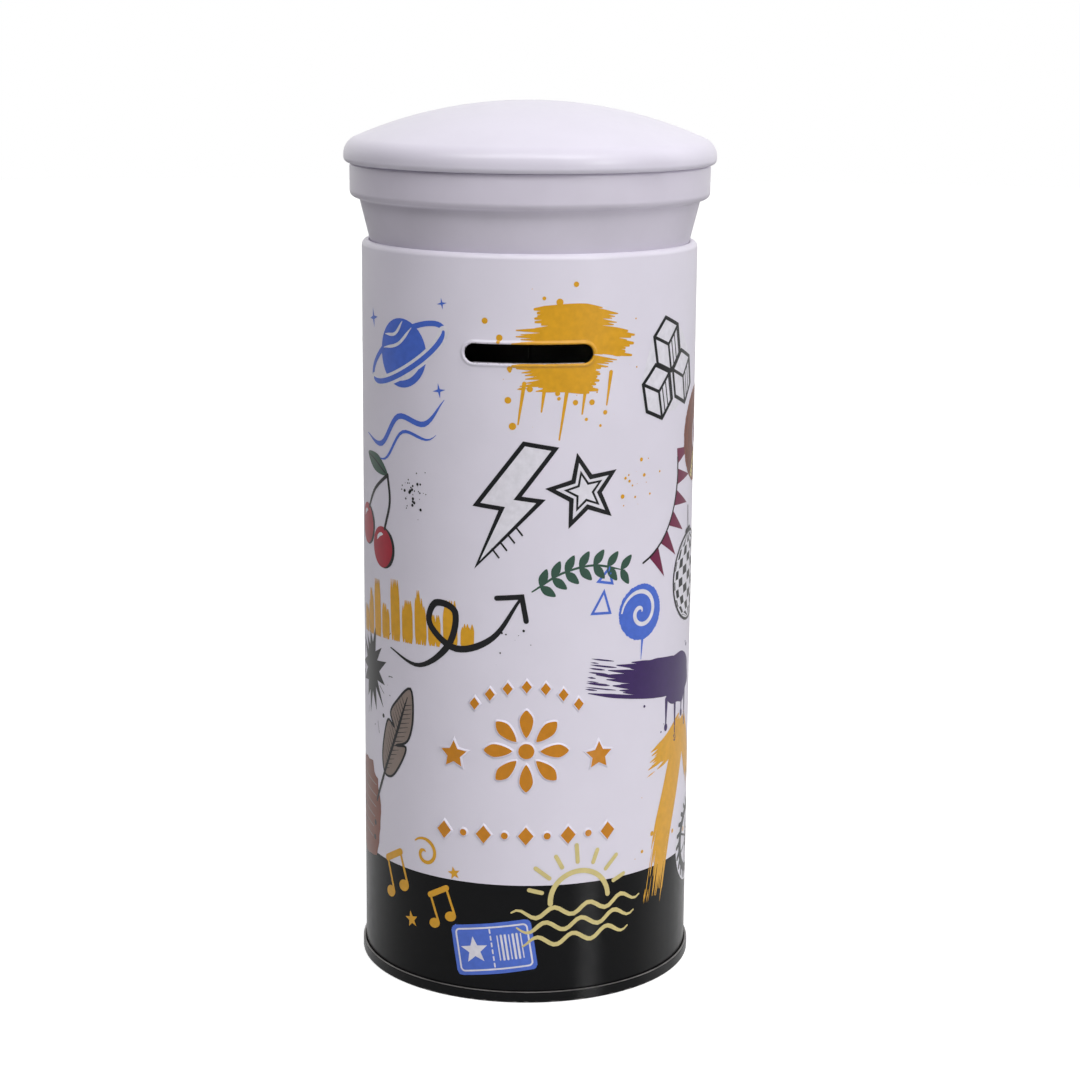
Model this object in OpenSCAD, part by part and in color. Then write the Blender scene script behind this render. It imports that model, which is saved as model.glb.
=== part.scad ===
// Round tinplate money box in the shape of a pillar: a seamed can with a coin slot,
// a drawn collar clenched into its mouth and a domed plug lid that lifts off.
// Millimetres. +Z is up, the coin slot faces -Y, and the origin is the centre of the
// circle that the tin stands on.

/* [Sheet] */
// Thickness of the tinplate
sheet_t = 0.25; // [0.2:0.05:0.4]
// Air left between folded layers of the same seam
fold_gap = 0.03; // [0.02:0.01:0.06]

/* [Body] */
// Outside diameter of the body tube
body_d = 85; // [76:1:100]
// Height of the body's shoulder above the table
body_h = 188.5; // [150:0.5:230]
// Outside radius of the shoulder's bend
shoulder_r = 1.4; // [1:0.1:2.5]
// Depth of the lip that is turned down into the tube
lip_h = 4; // [2.5:0.5:7]

/* [Base] */
// Height of the double seam that the tin stands on
seam_h = 2.9; // [2.4:0.1:4]
// Depth of the recess under the base panel
recess_h = 3.9; // [3:0.1:6]
// Height of the stiffening step in the base panel
panel_step_h = 0.8; // [0.4:0.1:1.5]
// Diameter of the raised middle of the base panel
panel_step_d = 58; // [30:1:64]

/* [Coin slot] */
// Length of the slot
slot_l = 31; // [28:0.5:40]
// Width of the slot
slot_w = 4.6; // [4.5:0.1:7]
// Distance of the slot's middle below the shoulder
slot_drop = 23.8; // [16:0.1:60]
// Width of the bead pressed up round the slot
slot_bead_w = 1.1; // [0.6:0.1:2]
// Height of that bead above the tube
slot_bead_h = 0.35; // [0.2:0.05:0.6]
// Depth of the slot's edges that are folded into the tube
slot_lip_h = 1.4; // [0.8:0.1:3]

/* [Side seam] */
// Width of the lock seam down the back
side_seam_w = 4; // [3:0.5:6]
// Width of the groove that it shows outside
side_groove_w = 0.35; // [0.2:0.05:0.5]
// Depth of that groove
side_groove_h = 0.12; // [0.05:0.01:0.15]

/* [Collar] */
// Height of the flared neck, from the shoulder to the cornice
neck_h = 10.5; // [6:0.5:16]
// How much wider the neck is at its top, on each side
neck_flare = 2.8; // [1.5:0.1:3.2]
// Height of the cornice band
cornice_h = 8.6; // [7:0.1:14]
// How far the cornice stands out from the neck
cornice_step = 2.3; // [2:0.1:4]
// Outside radius of the cornice's lower edge
cornice_r = 1.7; // [0.8:0.1:1.8]
// Width of the rolled rim round the mouth
rim_w = 2.8; // [2:0.1:3]
// Depth of the rim's lip that is turned down into the mouth
rim_lip_h = 4; // [2:0.5:5.5]
// Reach of the flared edge that locks the collar under the body's lip
lock_w = 0.9; // [0.7:0.1:1.3]

/* [Lid] */
// Height of the lid's dome
dome_h = 15.5; // [12:0.5:22]
// How far the dome overhangs the cornice
dome_overhang = 1.5; // [0.8:0.1:3]
// Height of the dome's upright rim
dome_rim_h = 2; // [2:0.1:4]
// Radius where the crown turns down into the rim
brow_r = 4.7; // [3:0.1:6]
// Radius of the rim's lower edge
hem_r = 1.4; // [0.8:0.1:1.6]
// Length of the plug ring below the dome's rim
plug_l = 6.5; // [4:0.5:7]
// Gap between the plug ring and the mouth, on each side
plug_fit = 0.2; // [0.1:0.01:0.3]

/* [Hidden] */
$fn = 180;

bend_step = 15;                 // angle between the points of a small bend
merge = 0.05;                   // overlap of solids that are fused
same_point = 0.002;             // points of a path nearer than this are one
beyond = 1;                     // how far a cut runs past what it cuts

body_r = body_d / 2;
body_in_r = body_r - sheet_t;
slot_z = body_h - slot_drop;
lip_bend_r = 0.7;               // outside radius of the bend into the lip
seam_room = 2;                  // length of the lock seam left flat at each end

// double seam, layer by layer from the inside out
chuck_in_r = body_in_r - fold_gap - sheet_t;
cover_hook_r = body_r + fold_gap;
body_hook_r = cover_hook_r + sheet_t + fold_gap;
seam_r = body_hook_r + 2 * sheet_t + fold_gap;
seam_bend_r = (seam_r - cover_hook_r) / 2;
chuck_bend_r = 0.6;             // radius where the base panel turns down
hook_bend_r = 0.12;             // inside radius of the body hook
hook_play = 0.1;                // room at the tip of the cover hook
body_fold_z = 2 * sheet_t + fold_gap;
hook_tip_z = seam_h - seam_bend_r;
cover_tip_z = body_fold_z + hook_play;
panel_step_r = panel_step_d / 2;

// neck and collar
neck_fit = 0.05;                // clearance of the collar in the body's mouth
neck_bend_r = 0.4;              // reach of the bend between neck and cornice
cornice_flat = 0.1;             // least flat between that bend and the cornice's
mouth_r = body_r - shoulder_r - lip_bend_r;
neck_r = mouth_r - neck_fit;
neck_z = body_h - lip_bend_r;
neck_top_r = neck_r + neck_flare;
cornice_out_r = neck_top_r + cornice_step;
cornice_z = body_h + neck_h;
collar_top_z = cornice_z + cornice_h;
cornice_bend_r = min(cornice_r, cornice_step - neck_bend_r - cornice_flat);
rim_bend_r = 0.8;               // outside radius of the mouth's rolled rim
collar_mouth_r = cornice_out_r - rim_w;
skirt_z = body_h - lip_h - fold_gap - sheet_t;

// lid
lid_z = collar_top_z;
lid_r = cornice_out_r + dome_overhang;
lid_top_z = lid_z + dome_h;
brow_z = lid_z + dome_rim_h;
brow_in = lid_r - brow_r;
rise = dome_h - dome_rim_h;
crown_r = (brow_in * brow_in + rise * rise - brow_r * brow_r) / (2 * (rise - brow_r));
crown_z = lid_top_z - crown_r;
brow_a = atan2(brow_z - crown_z, brow_in);
hem_gap = 0.2;                  // room between the dome's turned-in edge and the plug ring
plug_bend_r = sheet_t + 0.15;   // outside radius of the plug ring's bend
lead_in = 0.6;                  // how far the plug ring's lower edge tapers in
plug_r = collar_mouth_r - plug_fit;
plug_in_r = plug_r - sheet_t;
plug_top_z = lid_z + 2 * sheet_t + fold_gap;
plug_low_z = lid_z - plug_l;

// ---- outlines of bent sheet ----

// Points of an arc about c, from angle a0 to angle a1, closer on a larger radius.
function bend(c, r, a0, a1) =
    let (n = ceil(abs(a1 - a0) * sqrt(max(r, 1)) / bend_step))
    [for (i = [0 : n]) let (a = a0 + (a1 - a0) * i / n) c + r * [cos(a), sin(a)]];

function unit(v) = v / norm(v);
function left_of(v) = [-v[1], v[0]];

// The path without points that coincide.
function distinct(path) =
    [for (i = [0 : len(path) - 1])
        if (i == 0 || norm(path[i] - path[max(i, 1) - 1]) > same_point) path[i]];

// The face of a sheet that lies t to the left of a path, mitred at its corners.
function other_face(path, t) =
    let (last = len(path) - 1)
    [for (i = [0 : last])
        let (
            a = unit(path[min(i + 1, last)] - path[min(i, last - 1)]),
            b = unit(path[max(i, 1)] - path[max(i, 1) - 1]),
            m = unit(left_of(a) + left_of(b))
        )
        path[i] + m * t / (m * left_of(a))];

// A turned sheet whose one face follows the path, with its thickness to the left.
module turned_sheet(path) {
    near = distinct(path);
    far = other_face(near, sheet_t);
    rotate_extrude()
        polygon(concat(near, [for (i = [len(far) - 1 : -1 : 0]) [max(far[i][0], 0), far[i][1]]]));
}

// ---- shapes on the tube's wall ----

module stadium(l, w) {
    square([l - w, w], center = true);
    for (side = [-1, 1]) translate([side * (l - w) / 2, 0]) circle(d = w);
}

// A flat shape pushed forwards from the axis, out to a radius.
module forwards(z, reach) {
    translate([0, 0, z]) rotate([90, 0, 0]) linear_extrude(reach) children();
}

// A round wall from radius r0 to r1 and from height z0 to z1.
module round_wall(r0, r1, z0, z1) {
    translate([0, 0, z0])
        difference() {
            cylinder(r = r1, h = z1 - z0);
            translate([0, 0, -beyond]) cylinder(r = r0, h = z1 - z0 + 2 * beyond);
        }
}

// A stadium on the front wall, from radius r0 to r1, round the coin slot's middle.
module slot_band(l, w, r0, r1) {
    intersection() {
        forwards(slot_z, r1 + beyond) stadium(l, w);
        round_wall(r0, r1, slot_z - w, slot_z + w);
    }
}

// ---- the pieces ----

// Printed sheet rolled into a tube, with its lock seam at the back.
module body_tube() {
    wall = concat(
        [[body_hook_r, hook_tip_z]],
        bend([body_hook_r - hook_bend_r, body_fold_z + hook_bend_r], hook_bend_r, 0, -90),
        bend([body_r + hook_bend_r, body_fold_z + hook_bend_r], hook_bend_r, -90, -180),
        bend([body_r - shoulder_r, body_h - shoulder_r], shoulder_r, 0, 90),
        bend([mouth_r + lip_bend_r, body_h - lip_bend_r], lip_bend_r, 90, 180),
        [[mouth_r, body_h - lip_h]]
    );
    bead_out_r = body_r + slot_bead_h;
    color("#e4e1ec")
        difference() {
            union() {
                turned_sheet(wall);
                slot_band(slot_l + 2 * slot_bead_w, slot_w + 2 * slot_bead_w,
                          body_r - merge, bead_out_r);
                slot_band(slot_l + 2 * sheet_t, slot_w + 2 * sheet_t,
                          body_in_r - slot_lip_h, body_in_r + merge);
                side_seam();
            }
            forwards(slot_z, bead_out_r + beyond) stadium(slot_l, slot_w);
            side_groove();
        }
}

// The folded layers of the lock seam, inside the back of the tube.
module side_seam() {
    low = recess_h + panel_step_h + seam_room;
    high = skirt_z - lock_w - seam_room;
    intersection() {
        translate([-side_seam_w / 2, 0, low]) cube([side_seam_w, body_d, high - low]);
        round_wall(body_in_r - 2 * sheet_t, body_in_r + merge, low, high);
    }
}

// The groove that the lock seam leaves outside.
module side_groove() {
    low = seam_h + seam_room;
    high = body_h - shoulder_r;
    translate([-side_groove_w / 2, body_r - side_groove_h, low])
        cube([side_groove_w, side_groove_h + beyond, high - low]);
}

// Stamped base, recessed and double-seamed onto the tube.
module base_end() {
    color("#16181c")
        turned_sheet(concat(
            [[0, recess_h + panel_step_h], [panel_step_r, recess_h + panel_step_h],
             [panel_step_r + 2 * panel_step_h, recess_h]],
            bend([chuck_in_r - chuck_bend_r, recess_h - chuck_bend_r], chuck_bend_r, 90, 0),
            bend([chuck_in_r + seam_bend_r, seam_bend_r], seam_bend_r, 180, 270),
            bend([seam_r - seam_bend_r, seam_bend_r], seam_bend_r, -90, 0),
            bend([seam_r - seam_bend_r, seam_h - seam_bend_r], seam_bend_r, 0, 90),
            bend([cover_hook_r + seam_bend_r, seam_h - seam_bend_r], seam_bend_r, 90, 180),
            [[cover_hook_r, cover_tip_z]]
        ));
}

// Drawn ring: a skirt locked under the body's lip, the flared neck and the cornice.
module collar() {
    color("#d5d2de")
        turned_sheet(concat(
            [[neck_r + lock_w, skirt_z - lock_w], [neck_r, skirt_z], [neck_r, neck_z],
             [neck_top_r - neck_bend_r / 3, cornice_z - neck_bend_r],
             [neck_top_r + neck_bend_r, cornice_z]],
            bend([cornice_out_r - cornice_bend_r, cornice_z + cornice_bend_r],
                 cornice_bend_r, -90, 0),
            bend([cornice_out_r - rim_bend_r, collar_top_z - rim_bend_r], rim_bend_r, 0, 90),
            bend([collar_mouth_r + rim_bend_r, collar_top_z - rim_bend_r], rim_bend_r, 90, 180),
            [[collar_mouth_r, collar_top_z - rim_lip_h]]
        ));
}

// Drawn dome whose edge is turned in under the plug ring's flange.
module dome_cap() {
    color("#efedf5")
        turned_sheet(concat(
            [[plug_r + hem_gap, lid_z]],
            bend([lid_r - hem_r, lid_z + hem_r], hem_r, -90, 0),
            bend([brow_in, brow_z], brow_r, 0, brow_a),
            bend([0, crown_z], crown_r, brow_a, 90)
        ));
}

// Rolled ring inside the lid that plugs the collar's mouth.
module plug_ring() {
    color("#c8ccd0")
        turned_sheet(concat(
            [[lid_r - sheet_t - hem_r, plug_top_z]],
            bend([plug_in_r + plug_bend_r, plug_top_z - plug_bend_r], plug_bend_r, 90, 180),
            [[plug_in_r, plug_low_z + 2 * lead_in], [plug_in_r - lead_in, plug_low_z]]
        ));
}

body_tube();
base_end();
collar();
dome_cap();
plug_ring();
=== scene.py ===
"""Looks of the round tin money box: lacquered shells, inks printed on the tube, pressed gold ornament."""

import random
from math import asin, atan2, ceil, cos, degrees, pi, radians, sin, sqrt, tau

import bmesh
import bpy
import numpy as np
from mathutils import Matrix, Vector
from mathutils.geometry import delaunay_2d_cdt

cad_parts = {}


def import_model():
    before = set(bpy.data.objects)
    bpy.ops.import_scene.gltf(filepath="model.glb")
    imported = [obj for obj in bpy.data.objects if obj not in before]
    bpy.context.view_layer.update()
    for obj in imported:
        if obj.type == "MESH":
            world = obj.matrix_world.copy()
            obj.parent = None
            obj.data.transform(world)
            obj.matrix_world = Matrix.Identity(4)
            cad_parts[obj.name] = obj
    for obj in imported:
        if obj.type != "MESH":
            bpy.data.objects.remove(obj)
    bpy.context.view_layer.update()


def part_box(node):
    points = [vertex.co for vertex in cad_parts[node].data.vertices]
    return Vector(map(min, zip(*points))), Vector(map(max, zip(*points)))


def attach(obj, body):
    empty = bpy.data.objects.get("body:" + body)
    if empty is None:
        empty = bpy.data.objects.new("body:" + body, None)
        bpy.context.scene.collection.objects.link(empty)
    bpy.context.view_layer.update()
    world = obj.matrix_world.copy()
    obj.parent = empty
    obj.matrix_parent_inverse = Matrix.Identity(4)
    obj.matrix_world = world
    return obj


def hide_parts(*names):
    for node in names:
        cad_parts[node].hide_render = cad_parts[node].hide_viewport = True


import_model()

# ---- sizes in millimetres; each mesh is built in them and scaled to metres as it is added ----

MM = 0.001
SHEET = 0.25  # thickness of the tinplate
FOLD_GAP = 0.03  # air between the folded layers of a seam


def half_width(node):
    """How far a CAD node reaches to the side of the axis."""
    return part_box(node)[1].x / MM


def top(node):
    """Height of a CAD node's top."""
    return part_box(node)[1].z / MM


BODY_R = 42.5  # outside radius of the tube
BODY_H = top("body_tube")
SHOULDER_R = 1.4  # bend at the top of the tube
LIP_BEND_R = 0.7  # bend from there down into the lip
LIP_H = 4.0
MOUTH_R = BODY_R - SHOULDER_R - LIP_BEND_R

SEAM_R = half_width("base_end")
SEAM_H = 2.9
RECESS_H = 3.9
PANEL_STEP_H = top("base_end") - RECESS_H - SHEET
PANEL_STEP_R = 29.0

CORNICE_R = half_width("collar")
COLLAR_TOP = top("collar")
NECK_FIT = 0.05  # clearance of the collar in the tube's mouth
NECK_R = MOUTH_R - NECK_FIT
NECK_FLARE = 2.8  # how much wider the neck is at its top
NECK_TOP_R = NECK_R + NECK_FLARE
CORNICE_H = 8.6
CORNICE_Z = COLLAR_TOP - CORNICE_H
CORNICE_BEND_R = 1.7
RIM_W = 2.8  # width of the rolled rim round the mouth
RIM_BEND_R = 0.8
RIM_LIP_H = 4.0
LOCK_W = 0.9  # reach of the collar's locking edge under the lip

LID_R = half_width("dome_cap")
LID_TOP = top("dome_cap")
HEM_R = 1.4
BROW_R = 4.7
DOME_RIM_H = 2.0
HEM_GAP = 0.2  # room between the dome's turned-in edge and the plug
PLUG_FIT = 0.2
PLUG_R = CORNICE_R - RIM_W - PLUG_FIT
PLUG_L = 6.5

SLOT_DROP = 23.8  # from the shoulder down to the slot's middle
SLOT_Z = BODY_H - SLOT_DROP
SLOT_L = 31.0
SLOT_W = 4.6
SLOT_LIP = 1.4  # depth of the slot's folded edges
BEAD_W = 1.1
BEAD_H = 0.35

SEAM_GROOVE_W = 0.35  # groove that the side seam leaves at the back
SEAM_GROOVE_H = 0.12
BAND_TOP = 30.9  # upper edge of the black band at the foot
STEP = radians(2)  # angle between the grid lines round every shell
HALF_GIRTH = pi * BODY_R

# ---- outlines of bent sheet, as (radius, height) ----


def polar(r, a, x=0, y=0, squash=1.0):
    """The point at distance r and angle a, in radians, from (x, y), on an ellipse where squashed."""
    return (x + r * cos(a), y + r * squash * sin(a))


def bend(centre, r, start, end, step=6):
    """Points of an arc, in degrees, closer together on a larger radius."""
    n = max(2, ceil(abs(end - start) * sqrt(max(r, 1)) / step))
    return [polar(r, a, *centre) for a in np.radians(np.linspace(start, end, n + 1))]


def unit(v):
    """Rows of vectors, each made one long."""
    return v / np.maximum(np.linalg.norm(v, axis=1, keepdims=True), 1e-6)


def supported(path, reach=0.12):
    """The path with a point close to each end of its long straights, which keeps shading true."""
    out = [path[0]]
    for a, b in zip(path, path[1:]):
        a, b = np.array(a), np.array(b)
        length = np.linalg.norm(b - a)
        if length < 1e-3:
            continue
        if length > 5 * reach:
            out += [tuple(a + (b - a) * reach / length), tuple(b - (b - a) * reach / length)]
        out.append(tuple(b))
    return out


def tube_path():
    """The tube's outside, from its hook in the double seam up to the lip in its mouth."""
    cover_r = BODY_R + FOLD_GAP
    hook_r = cover_r + SHEET + FOLD_GAP
    fold_z = 2 * SHEET + FOLD_GAP
    tip_room = 0.15
    hook_bend_r = 0.12
    below_slot = (
        [(hook_r, SEAM_H - SHEET - tip_room)]
        + bend((hook_r - hook_bend_r, fold_z + hook_bend_r), hook_bend_r, 0, -90, 20)
        + bend((BODY_R + hook_bend_r, fold_z + hook_bend_r), hook_bend_r, -90, -180, 20)
        + [(BODY_R, SLOT_Z - WINDOW_H)]
    )
    above_slot = (
        [(BODY_R, SLOT_Z + WINDOW_H)]
        + bend((BODY_R - SHOULDER_R, BODY_H - SHOULDER_R), SHOULDER_R, 0, 90)
        + bend((MOUTH_R + LIP_BEND_R, BODY_H - LIP_BEND_R), LIP_BEND_R, 90, 180, 10)
        + [(MOUTH_R, BODY_H - LIP_H)]
    )
    return supported(below_slot) + supported(above_slot)


def base_path():
    """The base's underside, from its middle out and over the double seam."""
    chuck_r = BODY_R - 2 * SHEET - FOLD_GAP
    cover_r = BODY_R + FOLD_GAP
    bend_r = (SEAM_R - cover_r) / 2
    corner = 0.6
    hook_play = 0.1
    step_out = PANEL_STEP_R + 2 * PANEL_STEP_H
    return supported(
        [(0, RECESS_H + PANEL_STEP_H), (PANEL_STEP_R, RECESS_H + PANEL_STEP_H), (step_out, RECESS_H)]
        + bend((chuck_r - corner, RECESS_H - corner), corner, 90, 0, 10)
        + bend((chuck_r + bend_r, bend_r), bend_r, 180, 270, 10)
        + bend((SEAM_R - bend_r, bend_r), bend_r, -90, 0, 10)
        + bend((SEAM_R - bend_r, SEAM_H - bend_r), bend_r, 0, 90, 10)
        + bend((cover_r + bend_r, SEAM_H - bend_r), bend_r, 90, 180, 10)
        + [(cover_r, 2 * SHEET + FOLD_GAP + hook_play)]
    )


def collar_path():
    """The collar's outside, from its skirt in the tube up and over the mouth's rim."""
    skirt_z = BODY_H - LIP_H - FOLD_GAP - SHEET
    corner = 0.4
    return supported(
        [(NECK_R + LOCK_W, skirt_z - LOCK_W), (NECK_R, skirt_z), (NECK_R, BODY_H - LIP_BEND_R)]
        + [(NECK_TOP_R - corner / 3, CORNICE_Z - corner), (NECK_TOP_R + corner, CORNICE_Z)]
        + bend((CORNICE_R - CORNICE_BEND_R, CORNICE_Z + CORNICE_BEND_R), CORNICE_BEND_R, -90, 0)
        + bend((CORNICE_R - RIM_BEND_R, COLLAR_TOP - RIM_BEND_R), RIM_BEND_R, 0, 90)
        + bend((CORNICE_R - RIM_W + RIM_BEND_R, COLLAR_TOP - RIM_BEND_R), RIM_BEND_R, 90, 180)
        + [(CORNICE_R - RIM_W, COLLAR_TOP - RIM_LIP_H)]
    )


def dome_path():
    """The dome's outside, from its turned-in edge up to the middle of its crown."""
    rise = LID_TOP - COLLAR_TOP - DOME_RIM_H
    reach = LID_R - BROW_R
    crown_r = (reach**2 + rise**2 - BROW_R**2) / (2 * (rise - BROW_R))
    crown_z = LID_TOP - crown_r
    brow_z = COLLAR_TOP + DOME_RIM_H
    brow_a = degrees(atan2(brow_z - crown_z, reach))
    return supported(
        [(PLUG_R + HEM_GAP, COLLAR_TOP)]
        + bend((LID_R - HEM_R, COLLAR_TOP + HEM_R), HEM_R, -90, 0)
        + bend((reach, brow_z), BROW_R, 0, brow_a)
        + bend((0, crown_z), crown_r, brow_a, 90)
    )


def plug_path():
    """The plug ring's inside, from its flange in the dome down to its tapered edge."""
    inner = PLUG_R - SHEET
    top_z = COLLAR_TOP + 2 * SHEET + FOLD_GAP
    bend_r = SHEET + 0.15
    taper = 0.6
    low = COLLAR_TOP - PLUG_L
    return supported(
        [(LID_R - SHEET - HEM_R, top_z)]
        + bend((inner + bend_r, top_z - bend_r), bend_r, 90, 180, 15)
        + [(inner, low + 2 * taper), (inner - taper, low)]
    )


# ---- meshes ----

WINDOW_H = 8.0  # half height of the patch that holds the coin slot
WINDOW_STEPS = 16  # its half width, in grid lines


def on_circle(r, angle, z):
    """A point at an angle from the front, in millimetres."""
    return (r * sin(angle), -r * cos(angle), z)


def grid_lines():
    """Places of the grid lines along the tube's girth, with three more in the groove at the back."""
    arc = STEP * BODY_R
    half = round(HALF_GIRTH / arc)
    groove = HALF_GIRTH - SEAM_GROOVE_W / 2
    return [-HALF_GIRTH, -groove] + [i * arc for i in range(1 - half, half)] + [groove, HALF_GIRTH]


LINES = grid_lines()


def groove(s, z):
    """Depth of the side seam's groove at arc length s and height z."""
    past = np.abs(s) - (HALF_GIRTH - SEAM_GROOVE_W / 2)
    return np.where(z < BODY_H - SHOULDER_R, np.clip(past / (SEAM_GROOVE_W / 2), 0, 1) * SEAM_GROOVE_H, 0)


def turned(bm, path, with_slot):
    """Turns a path into one open skin, with a hole for the slot's patch where that is asked."""
    low, high = SLOT_Z - WINDOW_H, SLOT_Z + WINDOW_H
    side = WINDOW_STEPS * STEP * BODY_R
    places = LINES[:-1]
    rings = []
    for r, z in path:
        if r < 1e-4:
            rings.append([bm.verts.new((0, 0, z))] * len(places))
        else:
            on_wall = with_slot and abs(r - BODY_R) < 1e-6
            sunk = [float(groove(s, z)) if on_wall else 0 for s in places]
            rings.append([bm.verts.new(on_circle(r - d, s / BODY_R, z)) for s, d in zip(places, sunk)])
    for start, end, a, b in zip(path, path[1:], rings, rings[1:]):
        for i, s in enumerate(places):
            if with_slot and (start[1], end[1]) == (low, high) and -side - 0.1 < s < side - 0.1:
                continue
            j = (i + 1) % len(places)
            corners = [a[i], a[j], b[j], b[i]]
            bm.faces.new([v for k, v in enumerate(corners) if v not in corners[:k]])


def stadium(grow, points=28):
    """The slot's outline, grown on all sides, as (x, z) from its middle, anticlockwise."""
    straight = (SLOT_L - SLOT_W) / 2
    r = SLOT_W / 2 + grow
    angles = np.linspace(-pi / 2, pi / 2, points)
    right = [polar(r, a, straight) for a in angles]
    left = [(-x, -z) for x, z in right]
    return right + left


def from_slot(x, z):
    """Distance outwards from the slot's edge, for points on the tube's front."""
    straight = (SLOT_L - SLOT_W) / 2
    return np.hypot(np.maximum(np.abs(x) - straight, 0), z - SLOT_Z) - SLOT_W / 2


BEAD_RINGS = (0, 0.1, 0.22, 0.36, 0.52, 0.68, 0.84, 1.0, BEAD_W)


def bead_rings():
    """Loops along the bead, from the slot's edge outwards, on the tube laid flat."""
    return [
        [(BODY_R * asin(x / BODY_R), SLOT_Z + z) for x, z in stadium(grow)]
        for grow in BEAD_RINGS
    ]


def add_loops(points, edges, loops):
    """Adds closed loops to the points and edges of a flat mesh."""
    for loop in loops:
        first, n = len(points), len(loop)
        points += [tuple(p) for p in loop]
        edges += [(first + i, first + (i + 1) % n) for i in range(n)]


def bead_lift(s, z):
    """Height of the bead round the slot, at arc length s from the front and height z."""
    x = BODY_R * np.sin(np.clip(s / BODY_R, -pi / 2, pi / 2))
    share = np.where(np.abs(s) < SLOT_L, np.clip(from_slot(x, z) / BEAD_W, 0, 1), 1)
    swell = np.sin(pi * (0.22 + 0.78 * share)) ** 2
    return np.where(share < 1, BEAD_H * swell - 0.3 * (1 - np.minimum(share / 0.12, 1)) ** 2, 0)


def wall_points(s, z, lift):
    """Points on the tube's outside, or lift above it, from arc length and height."""
    r = BODY_R + lift + bead_lift(s, z) - groove(s, z)
    a = s / BODY_R
    return np.stack([r * np.sin(a), -r * np.cos(a), z], axis=-1)


def wall_normals(s, z, lift):
    """Directions straight out of that surface."""
    d = 0.02
    along = wall_points(s + d, z, lift) - wall_points(s - d, z, lift)
    up = wall_points(s, z + d, lift) - wall_points(s, z - d, lift)
    return unit(np.cross(along, up))


def flat_mesh(points, edges):
    """Delaunay triangles over points, with the edges kept, as arrays of points and corners."""
    out = delaunay_2d_cdt([Vector(p) for p in points], edges, [], 0, 1e-5)
    corners = [f if len(f) == 3 else f[:3] for f in out[2]]
    return np.array([tuple(v) for v in out[0]]), np.array(corners)


def slot_patch(bm):
    """The part of the tube's skin round the coin slot, with its bead and its folded edge."""
    arc = STEP * BODY_R
    lines = [i * arc for i in range(-WINDOW_STEPS, WINDOW_STEPS + 1)]
    low, high = SLOT_Z - WINDOW_H, SLOT_Z + WINDOW_H
    points = [(s, low) for s in lines] + [(s, high) for s in lines]
    n = len(lines)
    edges = [(i, i + 1) for i in range(n - 1)] + [(n + i, n + i + 1) for i in range(n - 1)]
    edges += [(i, n + i) for i in range(n)]
    add_loops(points, edges, bead_rings())
    flat, corners = flat_mesh(points, edges)
    middle = flat[corners].mean(1)
    outside = from_slot(BODY_R * np.sin(middle[:, 0] / BODY_R), middle[:, 1]) > 0
    place = wall_points(flat[:, 0], flat[:, 1], 0)
    verts = {}
    for i, j, k in corners[outside]:
        for c in (i, j, k):
            if c not in verts:
                verts[c] = bm.verts.new(place[c])
        bm.faces.new([verts[i], verts[j], verts[k]])
    near_slot = {v for c, v in verts.items() if abs(from_slot(place[c][0], place[c][2])) < 0.01}
    rim = [e for e in bm.edges if len(e.link_faces) == 1 and set(e.verts) <= near_slot]
    folded = bmesh.ops.extrude_edge_only(bm, edges=rim)["geom"]
    deep = BODY_R - SHEET - SLOT_LIP
    for v in [g for g in folded if isinstance(g, bmesh.types.BMVert)]:
        v.co.y = -sqrt(deep**2 - v.co.x**2)


def shell(name, body, node, path, outside, inside, with_slot=False):
    """One piece of tinplate: a turned skin, given its thickness inwards."""
    bm = bmesh.new()
    turned(bm, path, with_slot)
    if with_slot:
        slot_patch(bm)
        bmesh.ops.remove_doubles(bm, verts=bm.verts, dist=0.002)
    piece = add_mesh(name, bm, [outside, inside])
    thick = piece.modifiers.new("sheet", "SOLIDIFY")
    thick.thickness = SHEET * MM
    thick.offset = -1
    thick.use_even_offset = True
    thick.material_offset = thick.material_offset_rim = 1
    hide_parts(node)
    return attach(piece, body)


def add_mesh(name, bm, materials):
    """Makes a smooth-shaded object, in metres, of a mesh in millimetres."""
    bmesh.ops.scale(bm, vec=(MM, MM, MM), verts=bm.verts)
    mesh = bpy.data.meshes.new(name)
    bm.to_mesh(mesh)
    bm.free()
    mesh.shade_smooth()
    mesh.set_sharp_from_angle(angle=radians(42))
    for m in materials:
        mesh.materials.append(m)
    return placed(name, mesh)


def placed(name, data):
    """A new object in the scene."""
    thing = bpy.data.objects.new(name, data)
    bpy.context.scene.collection.objects.link(thing)
    return thing


# ---- materials ----


def linear(r, g, b):
    """An sRGB colour, 0 to 255, as the linear colour that a shader takes."""
    def one(c):
        c /= 255
        return c / 12.92 if c <= 0.04045 else ((c + 0.055) / 1.055) ** 2.4
    return (one(r), one(g), one(b), 1)


class Nodes:
    """A node tree, with short calls for adding and joining its nodes."""

    def __init__(self, owner):
        owner.use_nodes = True
        self.tree = owner.node_tree

    def add(self, kind, **settings):
        node = self.tree.nodes.new("ShaderNode" + kind)
        for key, value in settings.items():
            setattr(node, key, value)
        return node

    def join(self, source, target):
        if hasattr(source, "links"):
            self.tree.links.new(source, target)
        else:
            target.default_value = source

    def math(self, operation, a, b=0.0, c=0.0):
        node = self.add("Math", operation=operation)
        for value, socket in zip((a, b, c), node.inputs):
            self.join(value, socket)
        return node.outputs[0]

    def split(self, vector):
        node = self.add("SeparateXYZ")
        self.join(vector, node.inputs[0])
        return node.outputs

    def remap(self, value, low, high, to_low=0.0, to_high=1.0):
        node = self.add("MapRange")
        self.join(value, node.inputs["Value"])
        for key, v in (("From Min", low), ("From Max", high), ("To Min", to_low), ("To Max", to_high)):
            node.inputs[key].default_value = v
        return node.outputs["Result"]


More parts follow.
